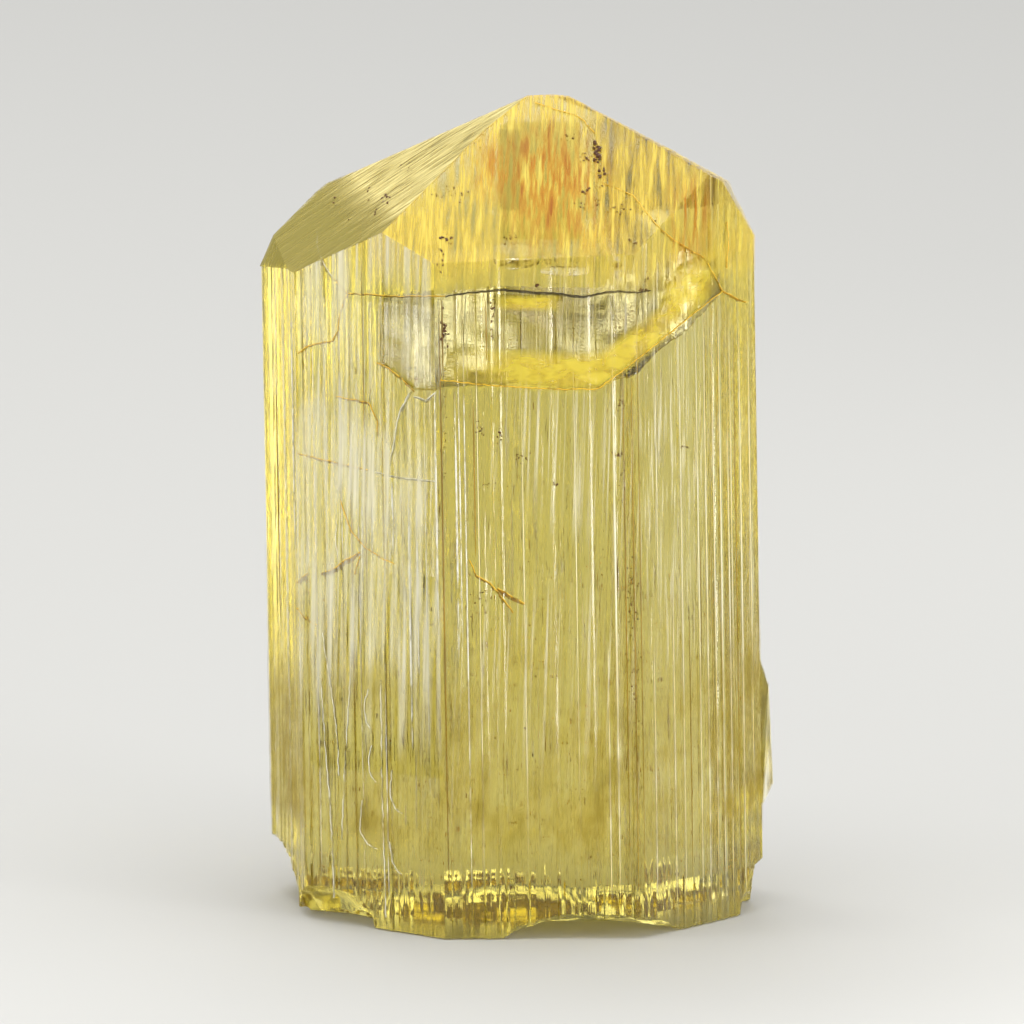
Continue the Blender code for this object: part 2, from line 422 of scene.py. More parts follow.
def makeCrystal():
    item = striatedPrism()
    planes = topPlanes()
    for point, normal in planes:
        cutAway(item, point, normal)
    softenRidges(item, planes)
    item.matrix_world = leanTurn
    applyPlace(item)
    cutAway(item, Vector((0.0, 0.0, 0.0)), Vector((0.0, 0.0, -1.0)))
    combine(item, makeSidePlate(), "UNION")
    for name, (place, halves) in baseBreaks.items():
        combine(item, makeBreak(name, place, halves), "DIFFERENCE")
    crack = shellCrack
    combine(item, bentSheet("shellCrack", crack["columns"], crack["rows"], shellSpot, crack["thickness"]),
            "DIFFERENCE")
    item.location = axisShift * mm
    item.scale = (mm, mm, mm)
    applyPlace(item)
    bpy.ops.object.shade_smooth_by_angle(angle=math.radians(20))
    return item


# Materials

def addNode(tree, kind, settings=None, **links):
    node = tree.nodes.new(kind)
    for key, value in (settings or {}).items():
        if key in node.inputs:
            node.inputs[key].default_value = value
        else:
            setattr(node, key, value)
    for name, source in links.items():
        tree.links.new(source, node.inputs[name.replace("_", " ")])
    return node


def newMaterial(name):
    material = bpy.data.materials.new(name)
    material.use_nodes = True
    return material, material.node_tree, material.node_tree.nodes["Principled BSDF"]


marialite = {
    "ior": 1.545,
    "roughness": 0.05,
    "hairLines": (9000.0, 9000.0, 90.0),    # per metre: lines 0.11 mm wide and 11 mm long
    "hairLineBump": 0.5,
    "hairLineHeight": 0.03,             # mm
    "tint": (0.852, 0.784, 0.113, 1.0),
    "tintDensity": 130.0,               # per metre
}


def clearYellowMarialite():
    # natural faces, glassy with the finest growth lines as a bump, and a yellow that deepens
    # with the way through the crystal
    gem = marialite
    material, tree, shader = newMaterial("clearYellowMarialite")
    shader.inputs["Transmission Weight"].default_value = 1.0
    shader.inputs["IOR"].default_value = gem["ior"]
    shader.inputs["Roughness"].default_value = gem["roughness"]
    shader.inputs["Base Color"].default_value = (1.0, 1.0, 1.0, 1.0)
    place = addNode(tree, "ShaderNodeTexCoord")
    stretch = addNode(tree, "ShaderNodeMapping", {"Scale": gem["hairLines"]},
                      Vector=place.outputs["Object"])
    lines = addNode(tree, "ShaderNodeTexNoise", {"Scale": 1.0, "Detail": 2.0},
                    Vector=stretch.outputs["Vector"])
    relief = addNode(tree, "ShaderNodeBump",
                     {"Strength": gem["hairLineBump"], "Distance": gem["hairLineHeight"] * mm},
                     Height=lines.outputs["Fac"])
    tree.links.new(relief.outputs["Normal"], shader.inputs["Normal"])
    tinted = addNode(tree, "ShaderNodeVolumeAbsorption",
                     {"Color": gem["tint"], "Density": gem["tintDensity"]})
    tree.links.new(tinted.outputs["Volume"], tree.nodes["Material Output"].inputs["Volume"])
    return material


def calculate(tree, operation, first, second=None):
    node = addNode(tree, "ShaderNodeMath", {"operation": operation, "use_clamp": operation == "MULTIPLY"})
    for place, value in enumerate((first, second)):
        if isinstance(value, (int, float)):
            node.inputs[place].default_value = value
        elif value is not None:
            tree.links.new(value, node.inputs[place])
    return node.outputs[0]


def filmCover(tree, film, place, dense):
    # how much of a film is seen: its pattern, thinned in clouds, with height and at its edges
    cover = calculate(tree, "MULTIPLY", dense.outputs["Result"], film["strongest"])
    if "clouds" in film:
        broad = addNode(tree, "ShaderNodeTexNoise",
                        {"Scale": 1000.0 / film["clouds"], "Detail": 1.0},
                        Vector=place.outputs["Object"])
        patch = addNode(tree, "ShaderNodeMapRange",
                        {"From Min": 0.38, "From Max": 0.62, "To Min": film.get("thinnest", 0.0)},
                        Value=broad.outputs["Fac"])
        cover = calculate(tree, "MULTIPLY", cover, patch.outputs["Result"])
    for full, clear in film.get("fades", ()):      # heights in millimetres
        apart = addNode(tree, "ShaderNodeSeparateXYZ", Vector=place.outputs["Object"])
        height = addNode(tree, "ShaderNodeMapRange", {"From Min": clear * mm, "From Max": full * mm},
                         Value=apart.outputs["Z"])
        cover = calculate(tree, "MULTIPLY", cover, height.outputs["Result"])
    if "edge" in film:      # as a share of its width
        apart = addNode(tree, "ShaderNodeSeparateXYZ", Vector=place.outputs["UV"])
        for way in ("X", "Y"):
            off = calculate(tree, "ABSOLUTE", calculate(tree, "SUBTRACT", apart.outputs[way], 0.5))
            soft = addNode(tree, "ShaderNodeMapRange", {"From Min": 0.5, "From Max": 0.5 - film["edge"]},
                           Value=off)
            cover = calculate(tree, "MULTIPLY", cover, soft.outputs["Result"])
    return cover


def filmMaterial(name, film):
    material, tree, shader = newMaterial(name)
    place = addNode(tree, "ShaderNodeTexCoord")
    stretch = addNode(tree, "ShaderNodeMapping",
                      {"vector_type": "TEXTURE", "Scale": tuple(size * mm for size in film["sizes"]),
                       "Rotation": (0.0, 0.0, math.radians(film.get("turned", 0.0)))},
                      Vector=place.outputs["Object"])
    pattern = addNode(tree, "ShaderNodeTexNoise", {"Scale": 1.0, "Detail": 2.0, "Roughness": 0.7},
                      Vector=stretch.outputs["Vector"])
    dense = addNode(tree, "ShaderNodeMapRange",
                    {"From Min": film["clearBelow"], "From Max": film["denseAbove"]},
                    Value=pattern.outputs["Fac"])
    if "strongest" in film:     # a film without it hides all that is behind it
        tree.links.new(filmCover(tree, film, place, dense), shader.inputs["Alpha"])
    colour = addNode(tree, "ShaderNodeMix", {"data_type": "RGBA"})
    colour.inputs[6].default_value = linear(film["dark"])
    colour.inputs[7].default_value = linear(film["light"])
    tree.links.new(dense.outputs["Result"], colour.inputs[0])
    tree.links.new(colour.outputs[2], shader.inputs["Base Color"])
    shader.inputs["Roughness"].default_value = film["roughness"]
    return material


# The pale floor and soft studio light

studio = {
    "floorSize": 3.0,
    "gap": 0.00006,        # a hair of air under the crystal, so that its base mirrors light
    "floorColour": "#BFBEBA",
    "worldColour": "#F4F5F6",
    "roomStrength": 0.25,
    "domeStrength": 1.15,
    "domeStarts": 18,      # degrees above the horizon
    "domeFull": 45,
}


def makeFloor():
    deselectAll()
    bpy.ops.mesh.primitive_plane_add(size=studio["floorSize"], location=(0.0, 0.0, -studio["gap"]))
    floor = nameNew("floor")
    material, tree, shader = newMaterial("paleFloor")
    shader.inputs["Base Color"].default_value = linear(studio["floorColour"])
    shader.inputs["Roughness"].default_value = 0.7
    floor.data.materials.append(material)


lights = {     # place, aim, width and height (m), power (W), spread (degrees)
    "topBox": ((-0.04, -0.08, 0.43), (0.0, 0.03, 0.0), 0.36, 0.36, 0.34, 110),
    "backPanel": ((-0.06, 0.26, 0.36), (0.0, 0.0, 0.02), 0.34, 0.24, 0.60, 180),
    "leftBox": ((-0.15, -0.02, 0.055), (0.0, 0.0, 0.015), 0.05, 0.11, 0.030, 180),
    "rightBox": ((0.12, 0.10, 0.055), (0.0, 0.0, 0.015), 0.05, 0.11, 0.025, 180),
    "frontRightCard": ((0.045, -0.052, 0.018), (0.0, 0.0, 0.016), 0.016, 0.036, 0.020, 180),
    "frontLeftCard": ((-0.060, -0.030, 0.018), (0.0, 0.0, 0.016), 0.016, 0.036, 0.008, 180),
}


def makeLight(name):
    place, aim, width, height, power, spread = lights[name]
    light = bpy.data.lights.new(name, "AREA")
    light.shape = "RECTANGLE"
    light.size = width
    light.size_y = height
    light.energy = power
    light.spread = math.radians(spread)
    item = bpy.data.objects.new(name, light)
    bpy.context.scene.collection.objects.link(item)
    item.location = place
    item.rotation_euler = (Vector(aim) - Vector(place)).to_track_quat("-Z", "Y").to_euler()
    item.visible_camera = False


def makeWorld():
    # a broad soft dome overhead, and a dim room round the horizon
    world = bpy.data.worlds.new("softStudio")
    bpy.context.scene.world = world
    world.use_nodes = True
    tree = world.node_tree
    sky = tree.nodes["Background"]
    sky.inputs["Color"].default_value = linear(studio["worldColour"])
    way = addNode(tree, "ShaderNodeTexCoord")
    apart = addNode(tree, "ShaderNodeSeparateXYZ", Vector=way.outputs["Generated"])
    dome = addNode(tree, "ShaderNodeMapRange", {
        "interpolation_type": "SMOOTHSTEP",
        "From Min": math.sin(math.radians(studio["domeStarts"])),
        "From Max": math.sin(math.radians(studio["domeFull"])),
        "To Min": studio["roomStrength"],
        "To Max": studio["domeStrength"]}, Value=apart.outputs["Z"])
    tree.links.new(dome.outputs["Result"], sky.inputs["Strength"])


photoView = {
    "azimuth": -12.0,
    "elevation": 9.0,
    "roll": 2.0,
    "distance": 0.75,
    "metresPerPixel": 4.15e-5,
    "imageSide": 1024,
    "middlePixel": (520.5, 499.0),     # where the middle of the crystal's height is seen
    "middleHeight": 16.88 * mm,
    "sensor": 36.0,
}


def cameraAxes():
    turn = math.radians(photoView["azimuth"])
    rise = math.radians(photoView["elevation"])
    back = Vector((math.sin(turn) * math.cos(rise), -math.cos(turn) * math.cos(rise), math.sin(rise)))
    right = Vector((math.cos(turn), math.sin(turn), 0.0))
    up = back.cross(right)
    roll = math.radians(photoView["roll"])
    rolledRight = right * math.cos(roll) + up * math.sin(roll)
    rolledUp = up * math.cos(roll) - right * math.sin(roll)
    return back, rolledRight, rolledUp


def makeCamera():
    back, right, up = cameraAxes()
    view = photoView
    place = cameraPlace()
    camera = bpy.data.cameras.new("camera")
    camera.sensor_width = view["sensor"]
    camera.lens = view["sensor"] * view["distance"] / (view["imageSide"] * view["metresPerPixel"])
    camera.clip_start = 0.01
    item = bpy.data.objects.new("camera", camera)
    bpy.context.scene.collection.objects.link(item)
    item.matrix_world = Matrix.Translation(place) @ Matrix((right, up, back)).transposed().to_4x4()
    bpy.context.scene.camera = item


# Where the inner features lie: a pixel of the photo, followed into the crystal

def cameraPlace():
    back, right, up = cameraAxes()
    view = photoView
    half = view["imageSide"] / 2
    aside = (half - view["middlePixel"][0]) * view["metresPerPixel"]
    above = (view["middlePixel"][1] - half) * view["metresPerPixel"]
    middle = Vector((0.0, 0.0, view["middleHeight"]))
    return middle + back * view["distance"] + right * aside + up * above


def crystalPlanes():
    planes = []
    for azimuth, distance in crystalForm["prismFaces"]:
        outward = azimuthDirection(azimuth)
        planes.append((outward * distance, outward))
    planes += topPlanes()
    turned = [(leanTurn @ point + axisShift, leanTurn.to_3x3() @ normal) for point, normal in planes]
    return turned + [(Vector((0.0, 0.0, 0.0)), Vector((0.0, 0.0, -1.0)))]


def bentInward(ray, normal):
    ratio = 1.0 / marialite["ior"]
    facing = -ray.dot(normal)
    inner = math.sqrt(1.0 - ratio * ratio * (1.0 - facing * facing))
    return ray * ratio + normal * (ratio * facing - inner)


wallPlanes = crystalPlanes()
pixelSize = photoView["metresPerPixel"] / mm     # millimetres


def spotInside(pixel, depth):
    # millimetres; depth is the way that the bent ray goes inside the crystal
    back, right, up = cameraAxes()
    view = photoView
    eye = cameraPlace() / mm
    aside = (pixel[0] - view["middlePixel"][0]) * pixelSize
    above = (view["middlePixel"][1] - pixel[1]) * pixelSize
    aim = Vector((0.0, 0.0, view["middleHeight"] / mm)) + right * aside + up * above
    ray = (aim - eye).normalized()
    entry = None
    for point, normal in wallPlanes:
        facing = ray.dot(normal)
        if facing < -1e-6:
            way = (point - eye).dot(normal) / facing
            if entry is None or way > entry[0]:
                entry = (way, normal)
    return eye + ray * entry[0] + bentInward(ray, entry[1]) * depth


def copyOf(pattern, matrix):
    item = pattern.copy()
    item.data = pattern.data.copy()
    item.data.transform(matrix)
    bpy.context.scene.collection.objects.link(item)
    return item


def joinPieces(name, items):
    deselectAll()
    for item in items:
        item.select_set(True)
    bpy.context.view_layer.objects.active = items[0]
    if len(items) > 1:
        bpy.ops.object.join()
    return nameNew(name)


def finishPiece(item, material):
    item.scale = (mm, mm, mm)
    applyPlace(item)
    item.data.materials.clear()
    item.data.materials.append(material)
    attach(item, "root")


# Feathers: small air filled cracks wholly inside the top, each a thin wavy disc that flashes

featherCracks = {
    "seed": 5,
    "thickness": 0.02,
    "ripple": 0.12,
    "discs": (    # pixel of the photo, depth, half width, half height (mm), tilt, turn
        ((517, 262), 1.6, 0.90, 0.42, 48, 0),
        ((566, 271), 1.2, 1.10, 0.24, 44, 5),
        ((496, 213), 1.0, 0.55, 0.16, 46, -5),
        ((546, 240), 1.3, 0.20, 0.75, 50, 15),
        ((573, 250), 1.4, 0.16, 0.62, 47, -12),
        ((616, 255), 1.2, 0.22, 0.85, 52, 18),
        ((484, 132), 0.8, 0.22, 0.16, 40, 0),
        ((640, 196), 1.0, 0.50, 0.22, 40, 20),
        ((668, 290), 1.6, 0.30, 1.20, 50, 10),
        ((686, 262), 1.8, 0.60, 0.80, 55, 20),
        ((325, 262), 0.7, 0.09, 0.80, 40, -30),
        ((455, 215), 1.2, 0.60, 0.30, 42, -10),
        ((590, 225), 2.2, 0.70, 0.40, 44, 10),
        ((535, 180), 1.8, 0.60, 0.30, 38, 0),
        ((425, 375), 1.0, 0.30, 0.12, 45, -25),
    ),
}


def makeFeathers():
    form = featherCracks
    draw = random.Random(form["seed"])
    items = []
    for index, (pixel, depth, width, height, tilt, turn) in enumerate(form["discs"]):
        middle = spotInside(pixel, depth)
        facing = azimuthDirection(photoView["azimuth"] + turn)
        raised = slopeNormal(photoView["azimuth"] + turn, 90 - tilt)
        across = Vector((-facing.y, facing.x, 0.0)).normalized()
        upward = raised.cross(across).normalized()
        shift = draw.uniform(0.0, 50.0)

        def placeAt(along, over):
            x = 2 * along - 1
            y = 2 * over - 1
            roundX = x * math.sqrt(1 - y * y / 2) * width
            roundY = y * math.sqrt(1 - x * x / 2) * height
            wave = noise.noise(Vector((roundX * 1.6 + shift, roundY * 1.6, shift)))
            return middle + across * roundX + upward * roundY + raised * wave * form["ripple"]

        items.append(bentSheet("feather%d" % index, 14, 14, placeAt, form["thickness"]))
    item = joinPieces("feathers", items)
    bpy.ops.object.mode_set(mode="EDIT")
    bpy.ops.mesh.select_all(action="SELECT")
    bpy.ops.mesh.flip_normals()      # a hole in the crystal has its faces turned to the air in it
    bpy.ops.object.mode_set(mode="OBJECT")
    item.scale = (mm, mm, mm)
    applyPlace(item)
    return item


# Small cracks, each a line seen at the surface that runs on into the crystal

smallCracks = {
    "seed": 11,
    "start": -0.06,
    "wider": 1.7,        # how much steeper than listed below the sheets fall, so that they show
    "thickness": 0.03,
    "jitter": 0.5,       # pixels
    "golden": (          # pixels of the photo, how far inwards and how far down it goes (mm)
        (((333, 278), (347, 293), (400, 296), (445, 296)), 0.7, 0.05),
        (((347, 294), (341, 310), (338, 330), (333, 340), (307, 346), (298, 353)), 0.6, 0.06),
        (((336, 396), (352, 399), (369, 402), (377, 420), (378, 436)), 0.6, 0.09),
        (((377, 362), (391, 369), (402, 378), (414, 391)), 0.6, 0.12),
        (((298, 453), (318, 458), (340, 463), (369, 470)), 0.7, 0.09),
        (((341, 500), (345, 515), (352, 532), (366, 548), (380, 557), (394, 564)), 0.7, 0.06),
        (((297, 608), (307, 620), (317, 625)), 0.6, 0.08),
        (((360, 556), (354, 574)), 0.5, 0.10),
        (((602, 183), (633, 195), (652, 220), (669, 237), (704, 258), (717, 281), (722, 290)), 0.7, 0.05),
        (((722, 290), (735, 298), (746, 302)), 0.6, 0.06),
        (((535, 103), (560, 111), (580, 117), (595, 134)), 0.4, 0.05),
        (((470, 560), (476, 575), (490, 583), (500, 594), (513, 612)), 0.5, 0.12),
        (((497, 588), (512, 596), (524, 603)), 0.5, 0.20),
        (((321, 573), (335, 568), (345, 560), (360, 552)), 0.5, 0.25),
        (((297, 582), (303, 576), (308, 573)), 0.5, 0.25),
        (((727, 222), (728, 250), (726, 268)), 0.4, 0.05),
        (((440, 380), (500, 386), (560, 389), (598, 389), (640, 357), (684, 321), (722, 291)), 0.3, 0.08),
    ),
    "pale": (
        (((317, 232), (318, 248), (324, 264), (333, 278)), 0.6, 0.22),
        (((369, 470), (398, 477), (436, 481)), 0.6, 0.09),
        (((337, 521), (336, 540), (338, 560)), 0.4, 0.05),
        (((323, 632), (325, 649), (334, 706), (338, 744), (339, 775)), 0.5, 0.02),
        (((321, 680), (325, 740), (330, 802), (333, 858), (334, 898)), 0.5, 0.02),
        (((352, 640), (349, 700), (344, 780), (342, 840)), 0.4, 0.02),
        (((381, 680), (382, 775), (384, 849), (386, 917)), 0.4, 0.02),
        (((410, 392), (400, 410), (394, 440), (390, 466)), 0.6, 0.10),
        (((436, 392), (426, 400), (414, 396)), 0.6, 0.10),
        (((368, 690), (364, 705), (366, 722), (371, 729)), 0.3, 0.04),
        (((372, 745), (368, 760), (371, 776), (376, 782)), 0.3, 0.04),
        (((392, 770), (390, 795), (396, 810), (402, 813)), 0.3, 0.04),
        (((362, 800), (360, 830), (368, 845), (378, 849)), 0.3, 0.04),
        (((390, 842), (392, 862), (398, 872), (402, 874)), 0.3, 0.04),
    ),
}


def crackSheet(name, line, reach, slant, draw, thickness):
    pixels = max(4, int(sum(math.dist(a, b) for a, b in zip(line, line[1:])) / 4))
    wobble = [Vector((draw.uniform(-1, 1), draw.uniform(-1, 1))) * smallCracks["jitter"]
              for _ in range(pixels + 2)]

    def placeAt(along, inward):
        spot = alongPoints(line, along)
        shake = wobble[round(along * pixels)]
        taper = math.sin(math.pi * min(0.96, max(0.04, along))) ** 0.4
        depth = smallCracks["start"] + reach * taper * inward
        down = smallCracks["wider"] * slant * reach * taper * inward / pixelSize
        return spotInside((spot[0] + shake.x, spot[1] + shake.y + down), depth)

    return bentSheet(name, pixels, 4, placeAt, thickness)


def makeSmallCracks(kind):
    draw = random.Random(smallCracks["seed"])
    sheets = []
    for index, (line, reach, slant) in enumerate(smallCracks[kind]):
        sheets.append(crackSheet("crack%d" % index, line, reach, slant, draw, smallCracks["thickness"]))
    return joinPieces(kind + "Cracks", sheets)


# The dark line across the front, where dirt has run into the crack

darkCrack = {
    "line": ((445, 296), (472, 292), (503, 289), (533, 292), (557, 293), (583, 296), (599, 293),
             (614, 291), (639, 292), (650, 290)),
    "reach": 0.4,
    "slant": 0.13,
    "thickness": 0.03,
    "seed": 23,
}


def makeDarkCrack():
    crack = darkCrack
    return crackSheet("darkCrack", crack["line"], crack["reach"], crack["slant"],
                      random.Random(crack["seed"]), crack["thickness"])


# Rusty film on the front of the pyramid and just below it

rustFilm = {
    "depth": -0.05,      # it lies on the outside of the face
    "columns": 50,
    "rows": 50,
    "thickness": 0.012,
    "patches": (         # left, right, upper and lower pixel of the photo
        (498, 622, 106, 268),
        (500, 580, 120, 240),
        (664, 716, 160, 268),
        (470, 520, 130, 210),
    ),
}


def makeRustFilm():
    film = rustFilm
    sheets = []
    for index, (left, right, upper, lower) in enumerate(film["patches"]):

        def placeAt(along, down):
            across = left + (right - left) * along
            roof = 104 + 0.44 * abs(across - 545)
            above = max(roof, upper)
            return spotInside((across, above + (lower - above) * down), film["depth"] - 0.01 * index)

        sheets.append(bentSheet("rust%d" % index, film["columns"], film["rows"], placeAt,
                                film["thickness"]))
    return joinPieces("rustFilm", sheets)


# Painted highlights: yellow bands on the shell shaped crack, painted where it mirrors the light from above.
# One runs along its lower rim, where it comes out at the face, and a short one lies just under the dark
# line. Each is a line of pixels and a height above it

crackBands = {
    "bands": ((((440, 391), (500, 391), (560, 394), (600, 393), (642, 362), (686, 326), (724, 295)), 44),
              (((492, 311), (530, 312), (566, 310)), 17),
              (((655, 338), (684, 318), (720, 292)), 56)),
    "depth": -0.05,
    "columns": 70,
    "rows": 14,
    "thickness": 0.012,
}


def makePaintedCrackHighlights():
    form = crackBands
    sheets = []
    for index, (line, height) in enumerate(form["bands"]):

        def placeAt(along, over):
            spot = alongPoints(line, along)
            return spotInside((spot[0], spot[1] - height * over), form["depth"])

        sheets.append(bentSheet("band%d" % index, form["columns"], form["rows"], placeAt,
                                form["thickness"]))
    return joinPieces("crackBands", sheets)


# Small brown and black grains, in groups: pixel, half spread, number, half size (mm)

ironGrains = {
    "seed": 19,
    "groups": (
        ((585, 158), (5, 4), 14, 0.10), ((597, 152), (4, 14), 26, 0.13), ((601, 174), (4, 5), 10, 0.11),
        ((587, 192), (5, 4), 8, 0.09), ((598, 198), (3, 14), 12, 0.07), ((618, 210), (9, 6), 26, 0.07),
        ((642, 208), (5, 7), 12, 0.06), ((632, 241), (4, 4), 7, 0.07), ((652, 221), (5, 4), 8, 0.06),
        ((567, 138), (7, 4), 12, 0.06), ((385, 199), (3, 4), 6, 0.12), ((377, 214), (3, 3), 5, 0.10),
        ((336, 205), (3, 4), 6, 0.07), ((349, 217), (3, 4), 5, 0.08), ((370, 194), (5, 9), 9, 0.06),
        ((408, 169), (7, 10), 12, 0.05), ((450, 194), (12, 7), 22, 0.06), ((447, 240), (7, 4), 14, 0.09),
        ((441, 256), (4, 12), 18, 0.08), ((483, 142), (6, 12), 16, 0.05), ((509, 239), (8, 9), 22, 0.05),
        ((583, 207), (7, 4), 8, 0.06), ((537, 285), (2, 2), 4, 0.10), ((644, 290), (4, 2), 10, 0.07),
        ((647, 277), (1, 6), 6, 0.05), ((444, 330), (3, 16), 20, 0.09), ((493, 320), (2, 22), 16, 0.06),
        ((540, 285), (60, 2), 10, 0.03), ((509, 378), (1, 1), 2, 0.05), ((560, 374), (2, 1), 2, 0.05),
        ((480, 430), (4, 6), 12, 0.05), ((500, 433), (3, 8), 12, 0.05), ((520, 457), (9, 4), 18, 0.05),
        ((488, 486), (14, 3), 14, 0.04), ((557, 484), (5, 3), 8, 0.05), ((621, 402), (4, 7), 12, 0.06),
        ((620, 455), (6, 3), 12, 0.06), ((624, 480), (6, 20), 24, 0.04), ((632, 590), (5, 40), 44, 0.045),
        ((635, 690), (5, 30), 34, 0.045), ((686, 447), (4, 3), 7, 0.05), ((604, 560), (3, 20), 14, 0.035),
        ((444, 420), (3, 60), 30, 0.035), ((369, 420), (2, 30), 12, 0.035), ((480, 600), (9, 12), 24, 0.04),
    ),
}


def makeGrains():
    form = ironGrains
    draw = random.Random(form["seed"])
    deselectAll()
    bpy.ops.mesh.primitive_ico_sphere_add(subdivisions=1, radius=1.0)
    pattern = nameNew("grain")
    copies = []
    for pixel, spread, count, size in form["groups"]:
        for index in range(count):
            seen = (pixel[0] + draw.gauss(0.0, 0.6) * spread[0],
                    pixel[1] + draw.gauss(0.0, 0.6) * spread[1])
            middle = spotInside(seen, draw.uniform(-0.08, 0.10))
            halves = [size * draw.uniform(0.35, 1.0) for _ in range(3)]
            turn = Matrix.Rotation(draw.uniform(0, math.pi), 4, "Y")
            shape = Matrix.Diagonal((*halves, 1.0))
            copies.append(copyOf(pattern, Matrix.Translation(middle) @ turn @ shape))
    bpy.data.objects.remove(pattern, do_unlink=True)
    return joinPieces("ironGrains", copies)


# Coats: thin skins just outside some of the faces: weathering and stains, and also painted highlights, a
# partly painted sheen and painted shade.
# "planes" counts the faces in the order of topPlanes, "azimuths" are prism faces, and "low" and "high" are
# heights

coats = {
    "etchedCoat": {"outside": 0.02, "low": 20.0, "high": 40.0, "planes": (3, 4), "azimuths": ()},
    # painted shade on the left shoulder facet
    "paintedShoulderShade": {"outside": 0.05, "low": 20.0, "high": 30.0, "planes": (3, 4, 5),
                      "azimuths": ()},
    "backWash": {"outside": 0.04, "low": 20.0, "high": 40.0, "planes": (2, 6), "azimuths": ()},
    "goldenWash": {"outside": 0.04, "low": 26.4, "high": 40.0, "planes": (0, 1, 7),
                   "azimuths": (0, 45, 315)},
    # painted highlights on the striations of the front faces
    "paintedLineHighlights": {"outside": 0.02, "low": 2.9, "high": 40.0, "planes": (), "azimuths": (0, 45, 315)},
    "lowStain": {"outside": 0.04, "low": 2.8, "high": 15.2, "planes": (), "azimuths": (0, 45, 315, 270)},
    # partly a painted sheen on the left front face
    "faceVeilAndPaintedSheen": {"outside": 0.06, "low": 6.8, "high": 40.0, "planes": (), "azimuths": (315,)},
    "thickness": 0.012,
    "sameFace": 0.9995,
}


def makeCoat(name):
    coat = coats[name]
    faces = [(azimuth, distance + coat["outside"]) for azimuth, distance in crystalForm["prismFaces"]]
    corners = [faceCrossing(faces[index - 1], face) for index, face in enumerate(faces)]
    tall = min(crystalForm["height"] + 1.0, coat["high"]) - coat["low"]
    item = uprightPrism(name, corners, coat["low"], tall)
    planes = topPlanes()
    for point, normal in planes:
        cutAway(item, point + normal * coat["outside"], normal)
    kept = [planes[index][1] for index in coat["planes"]]
    kept += [azimuthDirection(azimuth) for azimuth in coat["azimuths"]]
    deleteFaces(item, lambda face: max(face.normal.dot(normal) for normal in kept) < coats["sameFace"])
    addModifier(item, "SOLIDIFY", thickness=coats["thickness"], offset=0.0)
    applyModifiers(item)
    item.matrix_world = Matrix.Translation(axisShift) @ leanTurn
    applyPlace(item)
    return item


# Growth needles, which run along the crystal inside it: how many of each kind, the pixels
# between which they are seen, their lengths and radii (mm), and how deep they lie

alongCrystal = (leanTurn.to_3x3() @ Vector((0.0, 0.0, 1.0))).to_track_quat("Z", "Y").to_matrix().to_4x4()

needles = {
    "seed": 31,
    "lowest": 1.6,
    "highest": 27.5,
    "pale": {"count": 620, "left": 300, "right": 748, "upper": 310, "lower": 905, "shortest": 0.6,
             "longest": 8.0, "thin": 0.008, "thick": 0.030, "shallow": 0.25, "deep": 4.0},
    "white": {"count": 220, "left": 300, "right": 440, "upper": 300, "lower": 800, "shortest": 1.0,
              "longest": 9.0, "thin": 0.010, "thick": 0.040, "shallow": 0.20, "deep": 2.5},
    "brown": {"count": 420, "left": 300, "right": 748, "upper": 330, "lower": 905, "shortest": 0.4,
              "longest": 4.0, "thin": 0.008, "thick": 0.030, "shallow": 0.30, "deep": 5.0},
    "fleck": {"count": 900, "left": 300, "right": 748, "upper": 560, "lower": 915, "shortest": 0.04,
              "longest": 0.35, "thin": 0.015, "thick": 0.06, "shallow": 0.30, "deep": 6.0},
}


def makeNeedles(kind):
    form = needles[kind]
    draw = random.Random(needles["seed"] + form["count"])
    deselectAll()
    bpy.ops.mesh.primitive_ico_sphere_add(subdivisions=1, radius=1.0)
    pattern = nameNew("needle")
    copies = []
    for index in range(form["count"]):
        pixel = (draw.uniform(form["left"], form["right"]), draw.uniform(form["upper"], form["lower"]))
        depth = draw.uniform(form["shallow"], form["deep"])
        length = form["shortest"] + (form["longest"] - form["shortest"]) * draw.random() ** 2.5
        radius = draw.uniform(form["thin"], form["thick"])
        middle = spotInside(pixel, depth)
        middle.z = min(max(middle.z, needles["lowest"] + length / 2), needles["highest"] - length / 2)
        size = Matrix.Diagonal((radius, radius * draw.uniform(0.3, 1.0), length / 2, 1.0))
        copies.append(copyOf(pattern, Matrix.Translation(middle) @ alongCrystal @ size))
    bpy.data.objects.remove(pattern, do_unlink=True)
    return joinPieces(kind + "Needles", copies)
